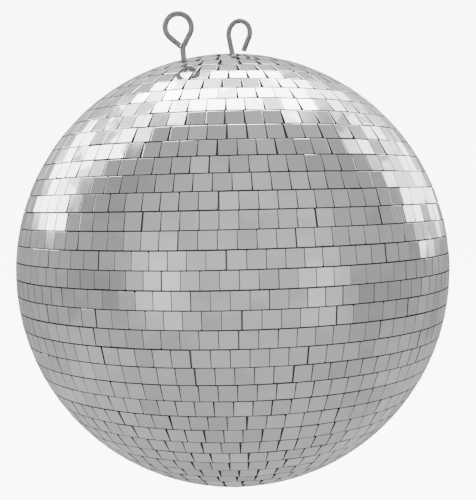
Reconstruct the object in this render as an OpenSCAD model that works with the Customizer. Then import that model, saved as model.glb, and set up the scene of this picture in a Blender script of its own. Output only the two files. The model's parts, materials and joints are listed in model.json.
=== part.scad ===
// Mirror ball: square glass tiles on fabric-backed strips, laid in rows round a hollow moulded core.
// It hangs from a bent-wire eye that turns in the crown, and a second wire eye beside it takes a safety line.
// Millimetres, +Z up. The origin is where a hook bears, at the top of the inside of the main eye's ring,
// and the ball's centre hangs straight below it.

/* [Mirror tiles] */
// Rows of tiles from pole to pole, counting the two that the crown collar and bottom disc take
rows = 42; // [40:2:44]
// Side of one square mirror tile
tile = 10; // [9.5:0.1:10.5]
// Thickness of the mirror glass
glass = 1.5; // [1.2:0.1:1.8]
// Gap between two rows, at the tiles' backs
row_gap = 0.55; // [0.55:0.05:0.8]
// Gap between two tiles of one strip, where they come closest
tile_gap = 0.25; // [0.2:0.05:0.4]
// Most tiles in one strip
longest_strip = 9; // [2:1:10]
// Tilt of the rows against the hanging axis, in degrees
row_tilt = 1.2; // [0:0.2:1.2]
// Seed of the hand-laid unevenness
laying_seed = 11; // [1:1:99]

/* [Core] */
// Thickness of the strips' fabric backing
backing = 0.4; // [0.2:0.1:0.6]
// Wall of the two core shells
core_wall = 3; // [2.5:0.5:4]
// Height of the lap joint between the shells
lap_h = 6; // [4:1:10]
// Radius of the flat boss inside the crown
crown_boss_r = 30; // [28:1:32]
// Radius of the steel load plate under the crown boss
load_plate_r = 24; // [22:1:26]
// Radius of the collar round the main eye's stem
collar_r = 7.2; // [6:0.1:7.2]

/* [Eyes] */
// Diameter of the eyes' wire
wire_d = 3.5; // [2.8:0.1:3.6]
// Radius of an eye's ring, to the middle of the wire
ring_r = 8.1; // [7.5:0.1:8.5]
// Height of the main eye's fork over the tile faces
main_fork_h = 0.4; // [0.4:0.1:2]
// Height of the main eye's ring over its fork
main_ring_h = 14.1; // [13:0.1:16]
// Sideways offset of the main eye's ring from its stem
main_ring_x = 5; // [3:0.1:5.5]
// Turn of the main eye about its stem, in degrees
main_turn = -30; // [-60:5:60]
// Height of the safety eye's fork over the tile faces
safety_fork_h = 8.3; // [7:0.1:12]
// Height of the safety eye's ring over its fork
safety_ring_h = 12.7; // [11:0.1:14]
// Sideways offset of the safety eye's ring from its stem
safety_ring_x = 1.2; // [0:0.1:4]
// How far the safety eye's stem is bent back towards the upright, above the tiles, in degrees
safety_upright = 11; // [4:1:14]
// Angle between the two eyes at the ball's centre
safety_angle = 21; // [20:0.5:24]
// Compass direction of the safety eye from the main eye, in degrees
safety_bearing = 234; // [225:1:245]

/* [Hidden] */
$fn = 48;
big_fn = 180;
row_step = 180 / rows;
last_row = rows / 2 - 1;
glue = 0.05;
// The tile backs lie on planes at this distance from the ball's centre, which the row pitch sets
seat_r = (tile + row_gap) / 2 / tan(row_step / 2);
face_r = seat_r + glass;
tape_r = seat_r - glue;
core_r = tape_r - backing;
core_inner_r = core_r - core_wall;
lap_r = core_r - core_wall / 2;
lap_play = 0.1;

// Unevenness of the hand-laid tiles, in degrees
strip_tilt = 0.75;
tile_tilt = 0.2;
tile_skew = 0.12;
// How far a strip may sit off its row's latitude, in mm
strip_shift = 0.1;
// The strips' fabric lets two neighbours fan out by this angle
fabric_give = 2;
// A strip stays so short that its end tiles turn no more than this against their own meridian
most_twist = 1.5;
// Share of the tiles that have a chipped corner, and the chips' smallest and largest size
chipped = 0.3;
least_chip = 0.35;
most_chip = 0.9;

wire_r = wire_d / 2;
run_play = 0.05;
run_r = wire_r + run_play;
hole_r = wire_r + 0.5;
drill_r = wire_r + 0.7;
bend_r = 4;
// The bent stretches are this much thinner than the straight ones, which reach a little way over them
bend_thinner = 0.03;
bend_lap = 0.15;
// The main eye's free leg: its slope over the horizontal, and its length below the ring
main_free_slope = 64;
main_free_len = 9.3;
// Slit between the safety eye's mitred free end and its stem
fork_slit = 0.15;
// Height over the tile faces at which the safety eye's stem is bent
safety_kink_h = 1;
nut_r = 6 / 2 / cos(30);
nut_h = 2.8;
stem_tail = 1.5;

crown_boss_z = core_inner_r - 7.5;
load_plate_h = 2;
load_plate_z = crown_boss_z - load_plate_h;
thrust_washer_r = 6;
thrust_washer_h = 1;
collar_top = face_r + main_fork_h - 0.9;
collar_edge = 0.6;
screw_count = 4;
screw_circle_r = 17;
screw_r = 1.25;
screw_head_r = 2.8;
screw_head_h = 1.6;
screw_depth = 5;

safety_boss_r = 14;
safety_boss_z = core_inner_r - 2;
safety_plate_r = 11;
safety_plate_h = 1.5;
safety_washer_r = 4.5;
safety_washer_h = 0.8;
bottom_disc_r = 10.2;
bottom_disc_edge = 0.4;

// The main eye's ring stands to one side of its stem, so the ball hangs with the stem leaning by hang_lean
main_ring_z = face_r + main_fork_h + main_ring_h;
hang_lean = atan(main_ring_x / main_ring_z);
ball_z = -(norm([main_ring_x, main_ring_z]) + ring_r - wire_r);

function row_name(half, i) = str("mirror_row_", half, i < 10 ? "_0" : "_", i);
function latitude(i) = (i - 0.5) * row_step;

// --- How the tiles of a row are laid ---

// Compass angle between two tiles of a row whose middles are this far apart
function pitch_of(lat, spacing) = 2 * asin(sin(atan(spacing / 2 / seat_r)) / cos(lat));
// How far two neighbours in one strip fan out: as their meridians do, or as far as the fabric gives
function fan(lat) = min(fabric_give, pitch_of(lat, tile + tile_gap) * sin(lat));
// Compass angle between two neighbours in one strip
function pitch(lat) = pitch_of(lat, tile * (cos(fan(lat) / 2) + sin(fan(lat) / 2)) + tile_gap);
// What each tile of a strip turns against its own meridian more than the tile before it
function tile_turn(lat) = pitch(lat) * sin(lat) - fan(lat);
// Turn of a strip's end tile against its own meridian
function end_twist(lat, n) = (n - 1) / 2 * tile_turn(lat);
// Compass angle from the middle of a strip's end tile to where the next strip may start
function end_angle(lat, twist) =
    let (across = tile / 2 * (cos(twist) + sin(twist)) + tile_gap / 2,
         poleward = tile / 2 * (cos(twist) - sin(twist)))
    atan(across / (1 - poleward * tan(lat) / seat_r) / (seat_r * cos(lat)));
function strip_angle(lat, n) = (n - 1) * pitch(lat) + 2 * end_angle(lat, end_twist(lat, n));
function most_tiles(lat) = min(longest_strip, 1 + floor(2 * most_twist / tile_turn(lat)));
// The longest strip of up to n tiles that still fits in the compass angle left
function fitting(lat, n, left) = n == 0 || strip_angle(lat, n) <= left ? n : fitting(lat, n - 1, left);
// Lengths of a row's strips, one after another until the row is full
function strips(lat, wanted, left, k = 0) =
    let (n = fitting(lat, wanted[k], left))
    n == 0 ? [] : concat([n], strips(lat, wanted, left - strip_angle(lat, n), k + 1));
function sum(v, k = 0) = k == len(v) ? 0 : v[k] + sum(v, k + 1);
function sum_to(v, end) = end == 0 ? 0 : v[end - 1] + sum_to(v, end - 1);
// Where each strip starts, with the angle that is left over shared out between the strips
function starts(lat, lengths, spare, at = 0, k = 0) =
    k == len(lengths) ? []
    : concat([at], starts(lat, lengths, spare, at + strip_angle(lat, lengths[k]) + spare, k + 1));

// --- Placing ---

module at_ball() {
    translate([0, 0, ball_z]) rotate([0, 0, main_turn]) rotate([0, -hang_lean, 0]) rotate([0, 0, -main_turn])
        children();
}

module in_rows() {
    rotate([0, -row_tilt, 0]) children();
}

module at_safety_eye() {
    rotate([0, 0, safety_bearing]) rotate([0, safety_angle, 0]) children();
}

// --- Mirror rows ---

// Glass square with its back's middle at the origin. The draw from 0 to 1 says which corner is chipped,
// and how much; most draws leave the tile whole.
module glass_tile(tilt_x, tilt_y, draw) {
    side = tile / 2;
    chip = least_chip + (most_chip - least_chip) * (draw / chipped * 4 - floor(draw / chipped * 4));
    rotate([tilt_x, tilt_y, 0]) {
        if (draw < chipped) {
            rotate([0, 0, 90 * floor(draw / chipped * 4)]) linear_extrude(glass)
                polygon([[side, side - chip], [side - chip * 0.8, side], [-side, side], [-side, -side],
                         [side, -side]]);
        } else {
            translate([-side, -side, 0]) cube([tile, tile, glass]);
        }
    }
}

// Puts a tile on the ball: its back's middle at seat_r, its sides along the meridian and the row
module on_ball(lat, compass, twist) {
    rotate([0, 0, compass]) rotate([0, 90 - lat, 0]) translate([0, 0, seat_r]) rotate([0, 0, 90 + twist])
        children();
}

// Direction of the safety eye in the rows' frame, and how far a tile is from it
safety_dir = let (x = sin(safety_angle) * cos(safety_bearing), y = sin(safety_angle) * sin(safety_bearing),
                  z = cos(safety_angle))
    [x * cos(row_tilt) + z * sin(row_tilt), y, z * cos(row_tilt) - x * sin(row_tilt)];
function near_safety_eye(lat, compass) =
    [cos(lat) * cos(compass), cos(lat) * sin(compass), sin(lat)] * safety_dir > cos(5);

// One strip of n tiles. lean holds the strip's three draws from -1 to 1: tilted along and across, and
// shifted. own holds four lists of the tiles' draws: skewed, tilted along and across, and chipped.
module strip(lat, n, start, lean, own) {
    first = start + end_angle(lat, end_twist(lat, n));
    for (j = [0:n - 1]) {
        compass = first + j * pitch(lat);
        twist = -(j - (n - 1) / 2) * tile_turn(lat);
        difference() {
            on_ball(lat + atan(lean[2] * strip_shift / seat_r), compass, twist + own[0][j] * tile_skew)
                glass_tile(lean[0] * strip_tilt + own[1][j] * tile_tilt,
                           lean[1] * strip_tilt + own[2][j] * tile_tilt, (own[3][j] + 1) / 2);
            if (near_safety_eye(lat, compass)) {
                rotate([0, row_tilt, 0]) at_safety_eye() cylinder(h = face_r + 5, r = drill_r);
            }
        }
    }
}

// One row of tiles north of the ball's equator, its first strip starting at the compass angle turn
module tile_row(i, turn, seed) {
    lat = latitude(i);
    most = most_tiles(lat);
    wanted = [for (v = rands(max(1, most / 2), most + 0.99, 90, seed)) floor(v)];
    lengths = strips(lat, wanted, 360);
    spare = (360 - sum([for (n = lengths) strip_angle(lat, n)])) / len(lengths);
    at = starts(lat, lengths, spare, turn);
    strip_draws = rands(-1, 1, 3 * len(lengths), seed + 200);
    tile_draws = rands(-1, 1, 4 * sum(lengths), seed + 400);
    for (k = [0:len(lengths) - 1]) {
        strip(lat, lengths[k], at[k], [for (q = [0:2]) strip_draws[3 * k + q]],
              [for (q = [0:3]) [for (j = [0:lengths[k] - 1]) tile_draws[4 * (sum_to(lengths, k) + j) + q]]]);
    }
}

upper_turns = rands(0, 360, last_row, laying_seed);
lower_turns = rands(0, 360, last_row, laying_seed + 1);

module mirror_row_upper(i) {
    color("silver") at_ball() in_rows() tile_row(i, upper_turns[i - 1], laying_seed + i);
}

module mirror_row_lower(i) {
    color("silver") at_ball() in_rows() mirror([0, 0, 1])
        tile_row(i, lower_turns[i - 1], laying_seed + i + last_row);
}

// --- Core and backing ---

// Profile of a round shell between two radii and two latitudes
module shell_profile(inner, outer, low, high) {
    far = outer * 1.5;
    intersection() {
        difference() {
            circle(outer, $fn = big_fn);
            circle(inner, $fn = big_fn);
        }
        polygon([[0, 0], [far * cos(low), far * sin(low)], [far * cos(high), far * sin(high)]]);
    }
}

module tapes() {
    half = atan(tile / 2 / tape_r);
    for (i = [1:last_row]) {
        rotate_extrude($fn = big_fn) shell_profile(core_r, tape_r, latitude(i) - half, latitude(i) + half);
    }
}

module backing_upper() {
    color("gainsboro") at_ball() difference() {
        in_rows() tapes();
        at_safety_eye() cylinder(h = face_r, r = drill_r);
    }
}

module backing_lower() {
    color("gainsboro") at_ball() in_rows() mirror([0, 0, 1]) tapes();
}

module core_upper_shell() {
    color("dimgray") at_ball() difference() {
        union() {
            rotate_extrude($fn = big_fn) upper_profile();
            at_safety_eye() intersection() {
                translate([0, 0, safety_boss_z]) cylinder(h = core_wall * 2, r = safety_boss_r);
                sphere(core_r - core_wall / 2, $fn = big_fn);
            }
        }
        cylinder(h = face_r, r = hole_r);
        at_safety_eye() cylinder(h = face_r, r = hole_r);
        at_screws() translate([0, 0, crown_boss_z]) cylinder(h = screw_depth, r = screw_r);
    }
}

module upper_profile() {
    difference() {
        intersection() {
            circle(core_r, $fn = big_fn);
            square(core_r + 1);
        }
        difference() {
            circle(core_inner_r, $fn = big_fn);
            translate([0, crown_boss_z]) square([crown_boss_r, core_wall * 4]);
        }
        intersection() {
            circle(lap_r + lap_play, $fn = big_fn);
            translate([core_r / 2, 0]) square([core_r, lap_h + lap_play]);
        }
    }
}

module core_lower_shell() {
    color("dimgray") at_ball() rotate_extrude($fn = big_fn) {
        difference() {
            intersection() {
                circle(core_r, $fn = big_fn);
                translate([0, -core_r - 1]) square(core_r + 1);
            }
            circle(core_inner_r, $fn = big_fn);
        }
        intersection() {
            difference() {
                circle(lap_r, $fn = big_fn);
                circle(core_inner_r, $fn = big_fn);
            }
            translate([core_r / 2, 0]) square([core_r, lap_h]);
        }
    }
}

// Round mirror that closes the small gap inside the lowest row
module bottom_disc() {
    color("silver") at_ball() in_rows() mirror([0, 0, 1]) translate([0, 0, seat_r]) {
        cylinder(h = glass - bottom_disc_edge, r = bottom_disc_r);
        translate([0, 0, glass - bottom_disc_edge])
            cylinder(h = bottom_disc_edge, r1 = bottom_disc_r, r2 = bottom_disc_r - bottom_disc_edge);
    }
}

// --- Crown fittings ---

module ring_of(bore_r, outer_r, z, h) {
    translate([0, 0, z]) difference() {
        cylinder(h = h, r = outer_r);
        cylinder(h = h, r = bore_r);
    }
}

// Hexagon nut with its top face at height z, chamfered at both ends
module nut(z) {
    translate([0, 0, z - nut_h]) difference() {
        intersection() {
            cylinder(h = nut_h, r = nut_r, $fn = 6);
            rotate_extrude() polygon([
                [0, 0], [nut_r * 0.9, 0], [nut_r + 0.05, 0.3],
                [nut_r + 0.05, nut_h - 0.3], [nut_r * 0.9, nut_h], [0, nut_h]]);
        }
        cylinder(h = nut_h, r = wire_r);
    }
}

module at_screws() {
    for (k = [0:screw_count - 1]) {
        rotate([0, 0, 45 + k * 360 / screw_count]) translate([screw_circle_r, 0, 0]) children();
    }
}

module crown_collar() {
    color("silver") at_ball() rotate_extrude() polygon([
        [hole_r, core_r + glue], [collar_r, core_r + glue], [collar_r, collar_top - collar_edge],
        [collar_r - collar_edge, collar_top], [hole_r, collar_top]]);
}

module load_plate() {
    color("slategray") at_ball() difference() {
        ring_of(run_r, load_plate_r, load_plate_z, load_plate_h);
        at_screws() translate([0, 0, load_plate_z]) cylinder(h = load_plate_h, r = screw_r + 0.15);
    }
}

module load_plate_screws() {
    color("lightgray") at_ball() at_screws() {
        translate([0, 0, load_plate_z]) cylinder(h = load_plate_h + screw_depth - 0.5, r = screw_r);
        translate([0, 0, load_plate_z - screw_head_h]) difference() {
            cylinder(h = screw_head_h, r = screw_head_r);
            translate([-screw_head_r, -0.4, 0]) cube([screw_head_r * 2, 0.8, 0.7]);
        }
    }
}

// --- Eyes ---

// The two directions from a fork that touch a ring at [x, h] on its far and near side, and their length
function tangents(x, h) =
    let (aim = atan2(h, x), spread = asin(ring_r / norm([x, h])))
    [aim + spread, aim - spread, sqrt(x * x + h * h - ring_r * ring_r)];

// Bent wire standing on +Z with its fork at the origin. The wire comes up the stem, bends to one side,
// and runs up to the ring and round it, to where a free leg of that slope leaves it.
module wire_ring(ring_x, ring_h, free_slope, stem) {
    leg = tangents(ring_x, ring_h);
    bend_leg = bend_r * tan((leg[0] - 90) / 2);
    translate([0, 0, -stem]) cylinder(h = stem - bend_leg + bend_lap, r = wire_r);
    translate([-bend_r, 0, -bend_leg]) wire_arc(bend_r, 0, leg[0] - 90);
    wire_leg(leg[0], bend_leg - bend_lap, leg[2] + bend_lap);
    translate([ring_x, 0, ring_h]) wire_arc(ring_r, free_slope - 90, 180 + leg[0] - free_slope);
}

// Round wire bent in the XZ plane, from one direction through an angle
module wire_arc(r, from, angle) {
    rotate([90, 0, 0]) rotate([0, 0, from])
        rotate_extrude(angle = angle, $fn = 96) translate([r, 0]) circle(wire_r - bend_thinner);
}

// Straight wire in the XZ plane between two distances from the fork
module wire_leg(direction, from, to) {
    rotate([0, 90 - direction, 0]) translate([0, 0, from]) cylinder(h = to - from, r = wire_r);
}

main_nut_z = load_plate_z - run_play - thrust_washer_h;
main_stem = face_r + main_fork_h - main_nut_z + 2 * nut_h + stem_tail;
safety_nut_z = safety_boss_z - safety_plate_h - run_play - safety_washer_h;
safety_stem = face_r + safety_kink_h - safety_nut_z + 2 * nut_h + stem_tail;

module main_eye() {
    color("darkgray") at_ball() rotate([0, 0, main_turn]) translate([0, 0, face_r + main_fork_h]) {
        wire_ring(main_ring_x, main_ring_h, main_free_slope, main_stem);
        translate([main_ring_x, 0, main_ring_h]) rotate([0, 90 - main_free_slope, 0])
            translate([ring_r, 0, -main_free_len]) cylinder(h = main_free_len + bend_lap, r = wire_r);
    }
}

module main_eye_washer() {
    color("lightgray") at_ball() ring_of(wire_r, thrust_washer_r, main_nut_z, thrust_washer_h);
}

module main_eye_nut() {
    color("lightgray") at_ball() nut(main_nut_z);
}

module main_eye_lock_nut() {
    color("lightgray") at_ball() rotate([0, 0, 18]) nut(main_nut_z - nut_h);
}

module safety_eye() {
    kink_leg = bend_r * tan(safety_upright / 2);
    color("darkgray") at_ball() at_safety_eye() translate([0, 0, face_r + safety_kink_h]) {
        translate([0, 0, -safety_stem]) cylinder(h = safety_stem - kink_leg + bend_lap, r = wire_r);
        translate([-bend_r, 0, -kink_leg]) wire_arc(bend_r, 0, safety_upright);
        rotate([0, -safety_upright, 0]) rotate([0, 0, -safety_bearing])
            translate([0, 0, safety_fork_h - safety_kink_h]) mirror([1, 0, 0])
                safety_ring(safety_fork_h - safety_kink_h - kink_leg + bend_lap);
    }
}

// The safety eye's free leg comes all the way down to the fork, and its end is mitred to lie beside the stem
module safety_ring(stem) {
    leg = tangents(safety_ring_x, safety_ring_h);
    wire_ring(safety_ring_x, safety_ring_h, leg[1], stem);
    difference() {
        wire_leg(leg[1], 0, leg[2] + bend_lap);
        for (slope = [leg[0], -90]) {
            rotate([0, 90 - slope, 0]) translate([-wire_r - fork_slit, -wire_d, 0])
                cube([wire_d + 2 * fork_slit, wire_d * 2, wire_d * 3]);
        }
    }
}

module safety_eye_plate() {
    color("slategray") at_ball() at_safety_eye()
        ring_of(run_r, safety_plate_r, safety_boss_z - safety_plate_h, safety_plate_h);
}

module safety_eye_washer() {
    color("lightgray") at_ball() at_safety_eye()
        ring_of(wire_r, safety_washer_r, safety_nut_z, safety_washer_h);
}

module safety_eye_nut() {
    color("lightgray") at_ball() at_safety_eye() nut(safety_nut_z);
}

module safety_eye_lock_nut() {
    color("lightgray") at_ball() at_safety_eye() rotate([0, 0, 24]) nut(safety_nut_z - nut_h);
}

for (i = [1:last_row]) {
    mirror_row_upper(i);
    mirror_row_lower(i);
}
backing_upper();
backing_lower();
core_upper_shell();
core_lower_shell();
bottom_disc();
crown_collar();
load_plate();
load_plate_screws();
main_eye();
main_eye_washer();
main_eye_nut();
main_eye_lock_nut();
safety_eye();
safety_eye_plate();
safety_eye_washer();
safety_eye_nut();
safety_eye_lock_nut();
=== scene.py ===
"""Mirror ball: looks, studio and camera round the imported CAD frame. Metres, in the CAD frame."""
import json
import math

import bpy
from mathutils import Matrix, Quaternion, Vector


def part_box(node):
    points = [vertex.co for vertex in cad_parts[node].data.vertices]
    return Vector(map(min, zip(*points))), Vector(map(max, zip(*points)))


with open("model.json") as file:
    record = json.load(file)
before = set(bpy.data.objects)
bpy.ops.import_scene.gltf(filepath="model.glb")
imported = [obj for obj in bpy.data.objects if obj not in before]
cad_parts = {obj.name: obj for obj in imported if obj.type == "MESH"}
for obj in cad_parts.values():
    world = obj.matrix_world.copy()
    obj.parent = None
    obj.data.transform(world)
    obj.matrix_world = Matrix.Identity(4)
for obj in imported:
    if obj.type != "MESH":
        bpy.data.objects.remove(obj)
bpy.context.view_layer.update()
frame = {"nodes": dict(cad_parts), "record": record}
nodes = frame["nodes"]

MM = 0.001

# The ball's centre, from the boxes of its two core shells
CENTRE = (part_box("core_lower_shell")[0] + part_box("core_upper_shell")[1]) / 2
CENTRE.x = CENTRE.y = 0.0

# --- Node graph helpers ---


def new_material(name):
    mat = bpy.data.materials.new(name)
    mat.use_nodes = True
    mat.node_tree.nodes.clear()
    return mat, mat.node_tree


def add(tree, kind, props=None, ins=None):
    """Adds a node. ins maps an input's name or index to a socket to link or a value to set."""
    node = tree.nodes.new(kind)
    for name, value in (props or {}).items():
        setattr(node, name, value)
    for name, value in (ins or {}).items():
        if isinstance(value, bpy.types.NodeSocket):
            tree.links.new(value, node.inputs[name])
        else:
            node.inputs[name].default_value = value
    return node


def math_(tree, op, a, b=0.0, c=0.0):
    return add(tree, "ShaderNodeMath", {"operation": op}, {0: a, 1: b, 2: c}).outputs[0]


def dot_(tree, a, b):
    return add(tree, "ShaderNodeVectorMath", {"operation": "DOT_PRODUCT"}, {0: a, 1: b}).outputs["Value"]


def step_(tree, value, low, high, to_low=0.0, to_high=1.0, smooth=True):
    """Maps value from low..high to to_low..to_high, clamped."""
    kind = "SMOOTHSTEP" if smooth else "LINEAR"
    ranges = {"Value": value, "From Min": low, "From Max": high, "To Min": to_low, "To Max": to_high}
    return add(tree, "ShaderNodeMapRange", {"interpolation_type": kind, "clamp": True}, ranges).outputs[0]


def noise_(tree, vector, scale, detail=2.0, rough=0.5, distort=0.0):
    shape = {"Scale": scale, "Detail": detail, "Roughness": rough, "Distortion": distort}
    return add(tree, "ShaderNodeTexNoise", None, {"Vector": vector, **shape})


def cells_(tree, vector, scale):
    """A random value for each cell of a Voronoi pattern."""
    cells = add(tree, "ShaderNodeTexVoronoi", None, {"Vector": vector, "Scale": scale})
    return add(tree, "ShaderNodeSeparateColor", None, {0: cells.outputs["Color"]}).outputs[0]


def scaled_(tree, vector, by):
    """The vector times by, axis by axis."""
    return add(tree, "ShaderNodeVectorMath", {"operation": "MULTIPLY"}, {0: vector, 1: by}).outputs[0]


def mix_(tree, factor, a, b, mode="MIX"):
    """Mixes two colours. 6, 7 and 2 are the Mix node's colour sockets."""
    kind = {"data_type": "RGBA", "blend_type": mode}
    return add(tree, "ShaderNodeMix", kind, {0: factor, 6: a, 7: b}).outputs[2]


def grey(v):
    return (v, v, v, 1.0)


def output(tree, shader):
    add(tree, "ShaderNodeOutputMaterial", None, {"Surface": shader})


# --- Studio ---

# Soft boxes and flags round the ball, by direction from its centre: azimuth (0 is behind the ball,
# 90 to its right, 180 towards the camera), elevation, half width, half height, edge softness, all in
# degrees, and the light that each adds (a flag takes light away)
PANELS = [
    ("top box", -2, 68, 25, 18, 3, 9.0),
    ("left strip box", -61, 34, 18, 27, 2.5, 5.2),
    ("right strip box", 50, 27, 20, 23, 3.5, 3.2),
    ("right upper box", 40, 66, 12, 8, 5, 1.3),
    ("back wall", -5, 32, 34, 20, 12, 0.46),
    ("fill behind the camera", 178, 18, 42, 32, 22, 0.24),
    ("fill left of the camera", -143, -2, 14, 16, 10, 0.46),
    ("fill right of the camera", 132, -5, 12, 14, 8, 0.38),
    ("left flag", -118, 10, 22, 42, 16, -0.06),
    ("right flag", 100, -20, 24, 24, 14, -0.08),
]
# The walls' own light, by how far up a direction points: -1 is straight down, 0 level, 1 straight up
SURROUND = [(-1.0, 0.58), (-0.55, 0.66), (-0.12, 0.50), (0.05, 0.55), (0.6, 0.50), (1.0, 0.60)]

# Panels brighter than this are soft boxes, the rest belong to the walls
BOX_LIGHT = 1.0

# A ray whose cosine with a panel's direction is less than this misses the panel
LEAST_AHEAD = 0.02

# Texture scales of the patterns on boxes and walls, and the least and most that each multiplies the light by
CREASE_SCALE, CREASE_LIGHT = 7.0, (0.16, 1.2)
BOARD_SCALE, BOARD_LIGHT = 4.5, (0.91, 1.08)
# The same for patterns that are added to the walls' factor, and what those two add
STREAK_SCALE, STREAK_STRETCH, STREAK_LIGHT = 1.6, (3.0, 3.0, 16.0), (-0.10, 0.10)
BROAD_SCALE, BROAD_LIGHT = 2.2, (-0.08, 0.08)
# Noise that bends the creases and boards, and how far
WARP_SCALE, WARP_BY = 3.0, (0.25, 0.25, 0.25)


def direction(azimuth, elevation):
    a, e = math.radians(azimuth), math.radians(elevation)
    return Vector((math.sin(a) * math.cos(e), math.cos(a) * math.cos(e), math.sin(e)))


def panel_mask(tree, ray, azimuth, elevation, half_w, half_h, soft):
    """1 inside a flat rectangle seen in that direction, 0 outside."""
    forward = direction(azimuth, elevation)
    right = direction(azimuth + 90, 0)
    up = right.cross(forward)
    ahead = dot_(tree, ray, forward)
    safe = math_(tree, "MAXIMUM", ahead, LEAST_AHEAD)
    mask = math_(tree, "GREATER_THAN", ahead, LEAST_AHEAD)
    for axis, half in ((right, half_w), (up, half_h)):
        off = math_(tree, "ABSOLUTE", math_(tree, "DIVIDE", dot_(tree, ray, axis), safe))
        edge_in = math.tan(math.radians(half - soft))
        edge_out = math.tan(math.radians(half + soft))
        mask = math_(tree, "MULTIPLY", mask, step_(tree, off, edge_in, edge_out, 1.0, 0.0))
    return mask


def make_world():
    world = bpy.data.worlds.new("studio")
    world.use_nodes = True
    tree = world.node_tree
    tree.nodes.clear()
    ray = add(tree, "ShaderNodeTexCoord").outputs["Generated"]
    z = add(tree, "ShaderNodeSeparateXYZ", None, {0: ray}).outputs[2]
    ramp = add(tree, "ShaderNodeValToRGB", None, {0: math_(tree, "MULTIPLY_ADD", z, 0.5, 0.5)})
    stops = ramp.color_ramp.elements
    while len(stops) < len(SURROUND):
        stops.new(0.5)
    for stop, (height, light) in zip(stops, SURROUND):
        stop.position = height / 2 + 0.5
        stop.color = grey(light)
    boxes, walls = 0.0, ramp.outputs[0]
    for _name, az, el, w, h, soft, light in PANELS:
        mask = panel_mask(tree, ray, az, el, w, h, soft)
        if light > BOX_LIGHT:
            boxes = math_(tree, "MULTIPLY_ADD", mask, light, boxes)
        else:
            walls = math_(tree, "MULTIPLY_ADD", mask, light, walls)
    # Creased cloth over the soft boxes, and uneven walls with boards and streaks, so that tiles differ
    warp = add(tree, "ShaderNodeVectorMath", {"operation": "MULTIPLY_ADD"},
               {0: noise_(tree, ray, WARP_SCALE).outputs[1], 1: WARP_BY, 2: ray}).outputs[0]
    creases = cells_(tree, warp, CREASE_SCALE)
    boxes = math_(tree, "MULTIPLY", boxes, step_(tree, creases, 0.1, 0.6, *CREASE_LIGHT, smooth=False))
    boards = cells_(tree, warp, BOARD_SCALE)
    streaks = noise_(tree, scaled_(tree, ray, STREAK_STRETCH), STREAK_SCALE, 3.0, 0.6).outputs[0]
    broad = noise_(tree, ray, BROAD_SCALE).outputs[0]
    uneven = math_(tree, "ADD", step_(tree, boards, 0.0, 1.0, *BOARD_LIGHT, smooth=False),
                   step_(tree, streaks, 0.3, 0.7, *STREAK_LIGHT))
    uneven = math_(tree, "ADD", uneven, step_(tree, broad, 0.3, 0.7, *BROAD_LIGHT))
    total = math_(tree, "MULTIPLY_ADD", walls, uneven, boxes)
    back = add(tree, "ShaderNodeBackground", None, {"Color": (1.0, 1.0, 0.99, 1.0), "Strength": total})
    add(tree, "ShaderNodeOutputWorld", None, {"Surface": back.outputs[0]})
    bpy.context.scene.world = world


FLOOR_Z = -0.95
STUDIO_R = 4.0
COVE_R = 1.2
WALL_H = 3.0
COVE_STEPS = 12
STUDIO_SIDES = 96
# The roof closes over the walls: share of the studio's radius, and height above the walls
ROOF = [(1.0, 0.0), (0.8, 1.2), (0.4, 1.8), (0.0, 2.0)]
BACKDROP_GLOW = 8.0


def make_studio():
    """A plain pale floor that curves up into a plain pale wall all round."""
    profile = [(0.0, 0.0), (STUDIO_R - COVE_R, 0.0)]
    for k in range(1, COVE_STEPS + 1):
        a = math.radians(90 * k / COVE_STEPS)
        profile.append((STUDIO_R - COVE_R + COVE_R * math.sin(a), COVE_R - COVE_R * math.cos(a)))
    profile += [(STUDIO_R * share, WALL_H + rise) for share, rise in ROOF]
    verts, faces = [], []
    for i in range(STUDIO_SIDES):
        a = math.tau * i / STUDIO_SIDES
        verts += [(r * math.cos(a), r * math.sin(a), FLOOR_Z + z) for r, z in profile]
    n = len(profile)
    for i in range(STUDIO_SIDES):
        for j in range(n - 1):
            p, q = i * n + j, ((i + 1) % STUDIO_SIDES) * n + j
            faces.append((p, q, q + 1, p + 1))
    mesh = bpy.data.meshes.new("studio_shell")
    mesh.from_pydata(verts, [], faces)
    mesh.polygons.foreach_set("use_smooth", [True] * len(mesh.polygons))
    shell = bpy.data.objects.new("studio_shell", mesh)
    bpy.context.scene.collection.objects.link(shell)
    mat, tree = new_material("studio_paint")
    at = add(tree, "ShaderNodeTexCoord").outputs["Object"]
    tone = step_(tree, noise_(tree, at, 0.8).outputs[0], 0.3, 0.7, 0.86, 0.9)
    paint = add(tree, "ShaderNodeBsdfDiffuse", None, {"Color": tone})
    glow = add(tree, "ShaderNodeEmission", None, {"Color": grey(1.0), "Strength": BACKDROP_GLOW})
    output(tree, add(tree, "ShaderNodeAddShader", None, {0: paint.outputs[0], 1: glow.outputs[0]}).outputs[0])
    mesh.materials.append(mat)
    shell.visible_glossy = False
    shell.visible_diffuse = False
    shell.visible_transmission = False
    shell.visible_shadow = False


def make_camera():
    # The lens stands a little above the ball's middle and aims just over it, rolled with the leaning stem
    distance, elevation, lens, roll = 0.630, 5.4, 67.2, 1.5
    aim = CENTRE + Vector((3.0 * MM, 0, 13.1 * MM))
    e = math.radians(elevation)
    data = bpy.data.cameras.new("camera")
    data.lens = lens
    cam = bpy.data.objects.new("camera", data)
    bpy.context.scene.collection.objects.link(cam)
    cam.location = CENTRE + distance * Vector((0, -math.cos(e), math.sin(e)))
    turn = (aim - cam.location).to_track_quat("-Z", "Y") @ Quaternion((0, 0, 1), math.radians(roll))
    cam.rotation_euler = turn.to_euler()
    data.clip_start = 0.01
    bpy.context.scene.camera = cam


# --- Materials ---

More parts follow.
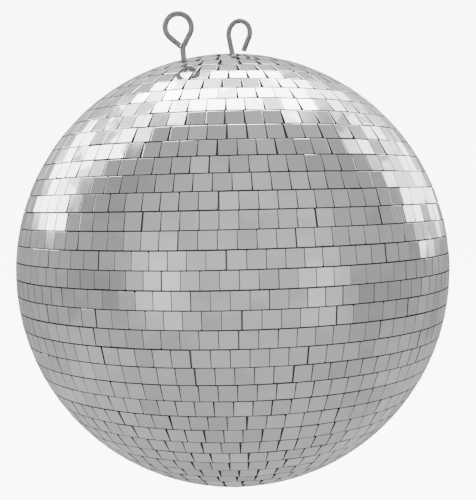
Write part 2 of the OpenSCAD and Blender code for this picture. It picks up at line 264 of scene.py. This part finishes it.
SILVER_LOW, SILVER_HIGH = 0.825, 0.875
SILVER_TINT = (0.955, 1.0, 0.97, 1.0)
DUST = grey(0.55)
# Colours of the tiles' ground edges round the equator, and their painted shade towards the poles
EQUATOR_EDGE = (0.50, 0.54, 0.52, 1.0)
SHADED_EDGE = (0.10, 0.12, 0.11, 1.0)
GLASS_SIDE = (0.13, 0.15, 0.14, 1.0)
CLOTH_DARK, CLOTH_LIGHT = (0.48, 0.48, 0.465, 1.0), (0.66, 0.66, 0.64, 1.0)
# Painted shade of the tape in the gaps towards the poles, and how much of it covers the tape
CLOTH_SHADE, SHADE_COVER = grey(0.07), 0.75
PLASTIC_DARK, PLASTIC_LIGHT = grey(0.022), grey(0.04)
# Widths of the tiles' ground edges round the equator and towards the poles, in mm. They change from one to
# the other between these two rows, counted from the equator
FINE_EDGE, COARSE_EDGE = 0.13, 0.30
FINE_ROW, COARSE_ROW = 4, 10
SAME_POINT = 1e-6
SHARP_ANGLE = 40
# Where a tile's edge and its side begin and end, by the cosine between a face and the way out of the ball
EDGE_COS, SIDE_COS = (0.80, 0.97), (0.35, 0.60)
FACE_ROUGH, EDGE_ROUGH = (0.02, 0.09), 0.22

# Steels: dark colour, light colour, least and most roughness, grain scale, height of the grain in mm
STEELS = {
    "collar_metal": ((0.50, 0.50, 0.49, 1), (0.66, 0.66, 0.65, 1), 0.22, 0.38, 1500.0, 0.02),
    "eye_wire": ((0.26, 0.26, 0.26, 1), (0.42, 0.42, 0.41, 1), 0.24, 0.42, 2200.0, 0.03),
    "plate_steel": ((0.30, 0.31, 0.33, 1), (0.44, 0.45, 0.47, 1), 0.35, 0.55, 900.0, 0.03),
    "fastener_steel": ((0.52, 0.52, 0.50, 1), (0.68, 0.68, 0.66, 1), 0.2, 0.35, 1400.0, 0.02),
}
# Dirt in the grain is this share of the dark colour
GRIME = 0.6


def outward(tree, at):
    """Direction from the ball's centre to a point."""
    off = add(tree, "ShaderNodeVectorMath", {"operation": "SUBTRACT"}, {0: at, 1: CENTRE}).outputs[0]
    return add(tree, "ShaderNodeVectorMath", {"operation": "NORMALIZE"}, {0: off}).outputs[0]


def polar_shade_(tree, out):
    """0 round the equator, 1 in the rows towards both poles: the mask of painted shade that darkens the
    joints between the tiles there.
    """
    height = add(tree, "ShaderNodeSeparateXYZ", None, {0: out}).outputs[2]
    return step_(tree, math_(tree, "ABSOLUTE", height), 0.15, 0.55)


def mirror_glass():
    """Silvered glass: a bright face, ground edges with painted shade towards the poles, a little waviness,
    dust and wiping marks.
    """
    mat, tree = new_material("mirror_glass")
    coord = add(tree, "ShaderNodeTexCoord")
    at = coord.outputs["Object"]
    island = add(tree, "ShaderNodeNewGeometry").outputs["Random Per Island"]
    out = outward(tree, at)
    facing = dot_(tree, out, coord.outputs["Normal"])
    edge = step_(tree, facing, *EDGE_COS, 1.0, 0.0)
    side = step_(tree, facing, *SIDE_COS, 1.0, 0.0)

    shifted = add(tree, "ShaderNodeVectorMath", {"operation": "ADD"},
                  {0: at, 1: math_(tree, "MULTIPLY", island, 3.0)}).outputs[0]
    wave = noise_(tree, shifted, 70.0, 1.0, 0.4).outputs[0]
    bump = add(tree, "ShaderNodeBump", None, {"Strength": 0.25, "Distance": 0.0004, "Height": wave})

    smear = noise_(tree, shifted, 260.0, 3.0, 0.6, 1.5).outputs[0]
    dust = noise_(tree, at, 2400.0, 2.0, 0.6).outputs[0]
    rough = step_(tree, smear, 0.35, 0.75, *FACE_ROUGH)
    rough = math_(tree, "MULTIPLY_ADD", edge, EDGE_ROUGH, rough)
    tone = step_(tree, island, 0.0, 1.0, SILVER_LOW, SILVER_HIGH, smooth=False)
    plain = add(tree, "ShaderNodeCombineColor", None, {0: tone, 1: tone, 2: tone}).outputs[0]
    silver = mix_(tree, 1.0, plain, SILVER_TINT, "MULTIPLY")
    silver = mix_(tree, step_(tree, dust, 0.70, 0.80, 0.0, 0.35), silver, DUST)
    # Painted shade: the ground edges darken towards both poles
    silver = mix_(tree, edge, silver, mix_(tree, polar_shade_(tree, out), EQUATOR_EDGE, SHADED_EDGE))
    silver = mix_(tree, side, silver, GLASS_SIDE)
    metal = math_(tree, "MULTIPLY_ADD", side, -0.75, 1.0)
    shader = add(tree, "ShaderNodeBsdfPrincipled", None,
                 {"Base Color": silver, "Metallic": metal, "Roughness": rough, "Normal": bump.outputs[0]})
    output(tree, shader.outputs[0])
    return mat


def backing_cloth():
    """Woven tape, pale round the equator, with painted shade darkening it in the gaps towards the poles."""
    mat, tree = new_material("strip_backing")
    at = add(tree, "ShaderNodeTexCoord").outputs["Object"]
    weave = add(tree, "ShaderNodeTexWave", {"wave_type": "BANDS", "bands_direction": "Z"},
                {"Vector": at, "Scale": 900.0, "Distortion": 1.0}).outputs[1]
    tone = mix_(tree, weave, CLOTH_DARK, CLOTH_LIGHT)
    # Painted shade: the tape darkens towards both poles
    tone = mix_(tree, math_(tree, "MULTIPLY", polar_shade_(tree, outward(tree, at)), SHADE_COVER), tone, CLOTH_SHADE)
    bump = add(tree, "ShaderNodeBump", None, {"Strength": 0.5, "Distance": 0.0001, "Height": weave})
    shader = add(tree, "ShaderNodeBsdfPrincipled", None,
                 {"Base Color": tone, "Roughness": 0.9, "Normal": bump.outputs[0]})
    output(tree, shader.outputs[0])
    return mat


def core_plastic():
    """Matt moulded plastic with a fine grain."""
    mat, tree = new_material("core_plastic")
    at = add(tree, "ShaderNodeTexCoord").outputs["Object"]
    grain = noise_(tree, at, 900.0, 3.0).outputs[0]
    tone = mix_(tree, noise_(tree, at, 20.0).outputs[0], PLASTIC_DARK, PLASTIC_LIGHT)
    bump = add(tree, "ShaderNodeBump", None, {"Strength": 0.3, "Distance": 0.0001, "Height": grain})
    shader = add(tree, "ShaderNodeBsdfPrincipled", None,
                 {"Base Color": tone, "Roughness": 0.55, "Normal": bump.outputs[0]})
    output(tree, shader.outputs[0])
    return mat


def steel(name, dark, light, rough_low, rough_high, grain_scale, bump_mm):
    """Zinc-plated or rolled steel: crystalline blotches, fine grain, and a dulled surface."""
    mat, tree = new_material(name)
    at = add(tree, "ShaderNodeTexCoord").outputs["Object"]
    blotch = noise_(tree, at, grain_scale * 0.2, 3.0, 0.55, 0.4).outputs[0]
    grain = noise_(tree, at, grain_scale, 4.0, 0.6).outputs[0]
    tone = mix_(tree, step_(tree, blotch, 0.3, 0.7), dark, light)
    grime = tuple(c * GRIME for c in dark[:3]) + (1.0,)
    tone = mix_(tree, step_(tree, grain, 0.55, 0.75, 0.0, 0.35), tone, grime)
    rough = step_(tree, grain, 0.3, 0.7, rough_low, rough_high)
    bump = add(tree, "ShaderNodeBump", None, {"Strength": 0.4, "Distance": bump_mm * MM, "Height": grain})
    shader = add(tree, "ShaderNodeBsdfPrincipled", None,
                 {"Base Color": tone, "Metallic": 1.0, "Roughness": rough, "Normal": bump.outputs[0]})
    output(tree, shader.outputs[0])
    return mat


def flat_faces():
    """A modifier group that drops the imported corner normals, so every flat face shades flat."""
    group = bpy.data.node_groups.new("flat_faces", "GeometryNodeTree")
    for way in ("INPUT", "OUTPUT"):
        group.interface.new_socket("Geometry", in_out=way, socket_type="NodeSocketGeometry")
    start = add(group, "NodeGroupInput")
    bare = add(group, "GeometryNodeRemoveAttribute", None,
               {"Geometry": start.outputs[0], "Name": "custom_normal"})
    flat = add(group, "GeometryNodeSetShadeSmooth", None,
               {"Geometry": bare.outputs[0], "Shade Smooth": False})
    add(group, "NodeGroupOutput", None, {0: flat.outputs[0]})
    return group


def edge_width(row):
    """Width of the ground edges of a row's tiles, which are coarser towards the poles."""
    share = (int(row[-2:]) - FINE_ROW) / (COARSE_ROW - FINE_ROW)
    return (FINE_EDGE + (COARSE_EDGE - FINE_EDGE) * min(max(share, 0), 1)) * MM


def finish_nodes():
    flat_group = flat_faces()
    mats = {
        "mirror_glass": mirror_glass(),
        "strip_backing": backing_cloth(),
        "core_plastic": core_plastic(),
    }
    for name, finish in STEELS.items():
        mats[name] = steel(name, *finish)
    slot_of = {s["node"]: s["material_slot"] for s in frame["record"]["subparts"]}
    for name, obj in nodes.items():
        obj.material_slots[0].material = mats[slot_of[name]]
        if name.startswith("mirror_row"):
            obj.modifiers.new("flat_faces", "NODES").node_group = flat_group
            weld = obj.modifiers.new("weld", "WELD")
            weld.merge_threshold = SAME_POINT
            bevel = obj.modifiers.new("ground_edge", "BEVEL")
            bevel.width = edge_width(name)
            bevel.segments = 1
            bevel.limit_method = "ANGLE"
            bevel.angle_limit = math.radians(SHARP_ANGLE)


make_world()
make_studio()
make_camera()
finish_nodes()
